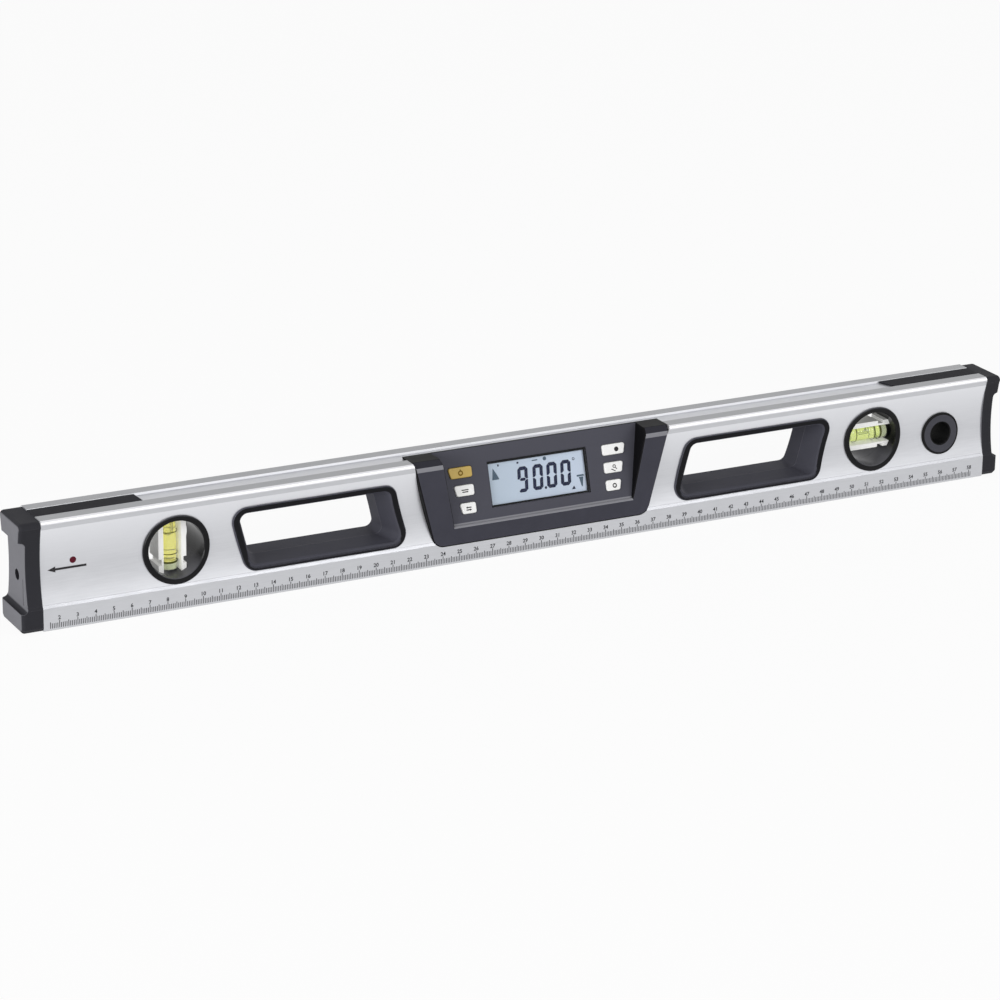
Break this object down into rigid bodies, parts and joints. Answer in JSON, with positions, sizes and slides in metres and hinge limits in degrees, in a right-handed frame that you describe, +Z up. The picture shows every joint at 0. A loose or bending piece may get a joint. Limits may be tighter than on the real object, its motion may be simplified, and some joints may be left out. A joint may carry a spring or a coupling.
{
  "type": "digital spirit level",
  "caption": "Slim waisted aluminium spirit level with a tilted digital display and keys, plumb and level vials, lined hand-holes, a hanging eyelet and an end laser.",
  "frame": {"origin": "centre of the measuring base, at the middle of the overall length and depth", "axes": "+X along the level from the laser end to the hanging eyelet, -Y the display side, +Z up from the base"},
  "size_m": [0.6, 0.03, 0.06],
  "materials": {
    "anodised_aluminium": "fine satin anodised",
    "cap_plastic": "matte moulded",
    "strip_plastic": "satin",
    "grip_plastic": "satin moulded",
    "eyelet_plastic": "satin moulded",
    "ring_plastic": "satin black",
    "housing_plastic": "fine moulded texture",
    "window_acrylic": "clear",
    "lcd_face": "display face",
    "white_plastic": "white",
    "circuit_board": "solder mask",
    "switch_plastic": "black",
    "chip_plastic": "black",
    "sensor_can": "tinned",
    "tray_plastic": "fine moulded texture",
    "cell_wrap": "plain sleeve",
    "spring_steel": "nickel plated",
    "screw_steel": "zinc plated",
    "barrel_brass": "turned",
    "tube_acrylic": "clear",
    "vial_fluid": "tinted liquid",
    "vial_bubble": "clear",
    "gold_key": "satin moulded",
    "white_key": "satin moulded"
  },
  "bodies": {
    "level": {"profile": "anodised_aluminium", "left_end_cap": "cap_plastic", "right_end_cap": "cap_plastic", "left_top_strip": "strip_plastic", "right_top_strip": "strip_plastic", "left_grip_front": "grip_plastic", "left_grip_rear": "grip_plastic", "right_grip_front": "grip_plastic", "right_grip_rear": "grip_plastic", "eyelet_front": "eyelet_plastic", "eyelet_rear": "eyelet_plastic", "display_housing": "housing_plastic", "display_window": "window_acrylic", "lcd_glass": "lcd_face", "backlight": "white_plastic", "display_board": "circuit_board", "key_switches": "switch_plastic", "board_chips": "chip_plastic", "tilt_sensor": "sensor_can", "buzzer": "chip_plastic", "battery_tray": "tray_plastic", "lower_cell": "cell_wrap", "upper_cell": "cell_wrap", "split_contacts": "spring_steel", "bridge_contact": "spring_steel", "housing_screws": "screw_steel", "board_screws": "screw_steel", "aperture_window": "window_acrylic", "laser_barrel": "barrel_brass", "laser_collimator": "window_acrylic", "laser_bracket": "chip_plastic", "plumb_vial_ring_front": "ring_plastic", "plumb_vial_ring_rear": "ring_plastic", "plumb_vial_holder": "white_plastic", "plumb_vial_tube": "tube_acrylic", "plumb_vial_plug": "white_plastic", "plumb_vial_fluid": "vial_fluid", "level_vial_ring_front": "ring_plastic", "level_vial_ring_rear": "ring_plastic", "level_vial_holder": "white_plastic", "level_vial_tube": "tube_acrylic", "level_vial_plug": "white_plastic", "level_vial_fluid": "vial_fluid"},
    "key_left_top": {"key_left_top": "gold_key"},
    "key_left_middle": {"key_left_middle": "white_key"},
    "key_left_bottom": {"key_left_bottom": "white_key"},
    "key_right_top": {"key_right_top": "white_key"},
    "key_right_middle": {"key_right_middle": "white_key"},
    "key_right_bottom": {"key_right_bottom": "white_key"},
    "battery_door": {"battery_door": "tray_plastic"},
    "plumb_bubble": {"plumb_vial_bubble": "vial_bubble"},
    "level_bubble": {"level_vial_bubble": "vial_bubble"}
  },
  "joints": [
    {"name": "key_left_top_press", "type": "slide", "parent": "level", "child": "key_left_top", "axis": [0, 0.9558, -0.2941], "range_m": [0, 0.0008], "stiffness_N_per_m": 1500},
    {"name": "key_left_middle_press", "type": "slide", "parent": "level", "child": "key_left_middle", "axis": [0, 0.9558, -0.2941], "range_m": [0, 0.0008], "stiffness_N_per_m": 1500},
    {"name": "key_left_bottom_press", "type": "slide", "parent": "level", "child": "key_left_bottom", "axis": [0, 0.9558, -0.2941], "range_m": [0, 0.0008], "stiffness_N_per_m": 1500},
    {"name": "key_right_top_press", "type": "slide", "parent": "level", "child": "key_right_top", "axis": [0, 0.9558, -0.2941], "range_m": [0, 0.0008], "stiffness_N_per_m": 1500},
    {"name": "key_right_middle_press", "type": "slide", "parent": "level", "child": "key_right_middle", "axis": [0, 0.9558, -0.2941], "range_m": [0, 0.0008], "stiffness_N_per_m": 1500},
    {"name": "key_right_bottom_press", "type": "slide", "parent": "level", "child": "key_right_bottom", "axis": [0, 0.9558, -0.2941], "range_m": [0, 0.0008], "stiffness_N_per_m": 1500},
    {"name": "battery_door_hinge", "type": "hinge", "parent": "level", "child": "battery_door", "pos_m": [0.00125, 0.014, 0.01765], "axis": [-1, 0, 0], "range_deg": [0, 95]},
    {"name": "plumb_bubble_run", "type": "slide", "parent": "level", "child": "plumb_bubble", "axis": [0, 0, 1], "range_m": [-0.01, 0], "stiffness_N_per_m": 5, "springref_m": 0.005},
    {"name": "level_bubble_run", "type": "slide", "parent": "level", "child": "level_bubble", "axis": [1, 0, 0], "range_m": [-0.005, 0.005], "stiffness_N_per_m": 5}
  ]
}
